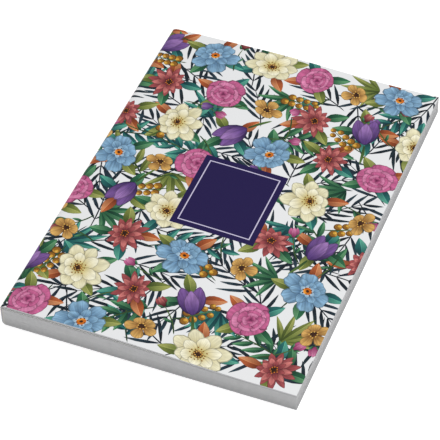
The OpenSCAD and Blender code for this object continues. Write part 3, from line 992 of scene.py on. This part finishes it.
def front_sheet():
    """The front cover and the spine: one printed sheet from the foot of the spine to the fore edge."""
    draw_print()
    low, high = (FRONT.u[0], 0.0), (FRONT.u[-1], BOOK_L)
    lines = bend_lines()
    flat, triangles, owners = cut_print([s["points"] for s in shapes], lines, low, high)
    mesh = sheet_mesh("front_sheet", FRONT, flat, triangles, lines, CARD_T, front_cut_shade)
    ink_corners(mesh, flat, triangles, owners)
    piece = link("front_sheet", mesh, [printed_card, card_edge, bare_card])
    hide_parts("front_cover", "spine_cover", *[
        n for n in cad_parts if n.startswith("print_") or n.startswith("label_")])
    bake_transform(piece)


def back_sheet():
    """The back cover and the fold under the spine."""
    fold_foot = BACK.u[-1] - math.pi / 2 * FOLD_R
    lines = np.concatenate([
        np.arange(BACK_MARGIN, fold_foot - BACK_MARGIN, BACK_STEP),
        np.arange(fold_foot - FOLD_REACH, BACK.u[-1] - FOLD_STEP / 2, FOLD_STEP)])
    flat, triangles, _ = cut([], [], [], lines, (BACK.u[0], 0.0), (BACK.u[-1], BOOK_L))
    # The back cover's whole cut edge carries the painted shade
    mesh = sheet_mesh("back_sheet", BACK, flat, triangles, lines, CARD_T, lambda u: np.full(len(u), SHADED_CUT))
    piece = link("back_sheet", mesh, [bare_card, card_edge, bare_card])
    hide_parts("back_cover")
    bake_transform(piece)


LEAVES = 92
PAGE_POINTS = 34
LEAF_SLIP = 0.035
LEAF_TONES = (0.93, 1.03)
# Painted shade: the faces between leaves are darkened by the first, and the topmost leaves at head and tail,
# where the cover stands off them, by the last
LEAF_GAP_SHADE = 0.9
SHADED_LEAVES = 4
SHADED_TONE = 0.66


def page_left(z):
    """Left end of the pages at a height, one glue thickness inside the card."""
    shoulder_z = SPINE_T - SHOULDER_H
    inner_x = SPINE_X + CARD_T
    if z < FOLD_R:
        r = FOLD_R - CARD_T
        inner_x = SPINE_X + FOLD_R - math.sqrt(max(0, r * r - (FOLD_R - z) ** 2))
    if z > shoulder_z:
        rise = (z - shoulder_z) / (SHOULDER_H - CARD_T)
        inner_x = SPINE_X + SHOULDER_W - (SHOULDER_W - CARD_T) * math.sqrt(max(0, 1 - rise * rise))
    return inner_x + GLUE_T


def page_block():
    """The trimmed pages: thin slabs that stand a few hundredths of a millimetre in and out of each other. The
    faces between slabs are painted a little darker, and at head and tail the topmost are painted darker
    still, as painted shade of the gap where the cover stands off them."""
    draw = random.Random(7)
    spread = np.linspace(0, 1, PAGE_POINTS)
    verts, faces, tones = [], [], []
    ring_size = 2 * len(spread)
    previous = None

    def ring(share, slip):
        left = page_left(CARD_T + (page_top(SPINE_X) - CARD_T) * share)
        xs = left + (FORE_X - slip[0] - left) * spread
        zs = CARD_T + (page_top(xs) - CARD_T) * share
        start = len(verts)
        verts.extend([x, TAIL_Y + slip[1], z] for x, z in zip(xs, zs))
        verts.extend([x, HEAD_Y - slip[2], z] for x, z in zip(xs[::-1], zs[::-1]))
        return start

    def join_rings(a, b, tone, fore_tone):
        for i in range(ring_size):
            j = (i + 1) % ring_size
            faces.append([a + i, a + j, b + j, b + i])
            tones.append(fore_tone if i == len(spread) - 1 else tone)

    def cap(start, up):
        for i in range(len(spread) - 1):
            quad = [start + i, start + i + 1, start + ring_size - 2 - i, start + ring_size - 1 - i]
            faces.append(quad if up else quad[::-1])
            tones.append(1.0)

    for k in range(LEAVES):
        slip = [draw.uniform(0, LEAF_SLIP) for _ in range(3)]
        tone = draw.uniform(*LEAF_TONES)
        shade = SHADED_TONE if k >= LEAVES - SHADED_LEAVES else 1
        low = ring(k / LEAVES, slip)
        high = ring((k + 1) / LEAVES, slip)
        if previous is None:
            cap(low, False)
        else:
            join_rings(previous, low, LEAF_GAP_SHADE * shade, LEAF_GAP_SHADE)
        join_rings(low, high, tone * shade, tone)
        previous = high
    cap(previous, True)
    mesh = bpy.data.meshes.new("pages")
    mesh.from_pydata((np.array(verts) * MM).tolist(), [], faces)
    caps = len(spread) - 1
    kinds = np.zeros(len(faces), np.int32)
    kinds[:caps] = 1
    kinds[-caps:] = 1
    mesh.polygons.foreach_set("material_index", kinds)
    mesh.attributes.new("leaf_tone_and_shade", "FLOAT", "FACE").data.foreach_set("value", np.array(tones, np.float32))
    mesh.update()
    piece = link("pages", mesh, [page_edges, page_face])
    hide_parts("page_block")
    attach(piece, "root")


front_sheet()
back_sheet()
page_block()
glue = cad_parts["binding_glue"]
glue.data.materials.clear()
glue.data.materials.append(card_material("glue", GLUE_TONE, 0.5, 600.0, 0.08))


# Floor and light. The world looks brighter than it lights, so that the floor fades into it.

FLOOR_REACH = 6.0
FLOOR_GLOW = 0.34
WORLD_LIGHT = 0.48
WORLD_SEEN = 0.81
LAMP_PLACE = Vector((0.36, -0.05, 1.2))
LAMP_SIZE = 1.2
LAMP_POWER = 11.4


def add_floor():
    mesh = bpy.data.meshes.new("floor")
    corners = [(x * FLOOR_REACH, y * FLOOR_REACH, 0) for x, y in ((-1, -1), (1, -1), (1, 1), (-1, 1))]
    mesh.from_pydata(corners, [], [[0, 1, 2, 3]])
    material = card_material("floor", FLOOR_TONE, 0.9, 40.0, 0.0)
    shader = material.node_tree.nodes["Principled BSDF"]
    shader.inputs["Emission Color"].default_value = (1, 1, 1, 1)
    shader.inputs["Emission Strength"].default_value = FLOOR_GLOW
    floor = link("floor", mesh, [material])


def add_lamp():
    data = bpy.data.lights.new("overhead", "AREA")
    data.shape = "SQUARE"
    data.size = LAMP_SIZE
    data.energy = LAMP_POWER
    lamp = bpy.data.objects.new("overhead", data)
    bpy.context.scene.collection.objects.link(lamp)
    lamp.location = LAMP_PLACE
    lamp.rotation_euler = (-LAMP_PLACE).to_track_quat("-Z", "Y").to_euler()


def add_world():
    world = bpy.data.worlds.new("studio")
    world.use_nodes = True
    background = world.node_tree.nodes["Background"]
    background.inputs["Color"].default_value = (1, 1, 1, 1)
    sight = world.node_tree.nodes.new("ShaderNodeLightPath")
    level = world.node_tree.nodes.new("ShaderNodeMapRange")
    level.inputs["To Min"].default_value = WORLD_LIGHT
    level.inputs["To Max"].default_value = WORLD_SEEN
    world.node_tree.links.new(sight.outputs["Is Camera Ray"], level.inputs["Value"])
    world.node_tree.links.new(level.outputs["Result"], background.inputs["Strength"])
    bpy.context.scene.world = world


add_floor()
add_world()
add_lamp()
bpy.context.scene.view_settings.view_transform = "Standard"
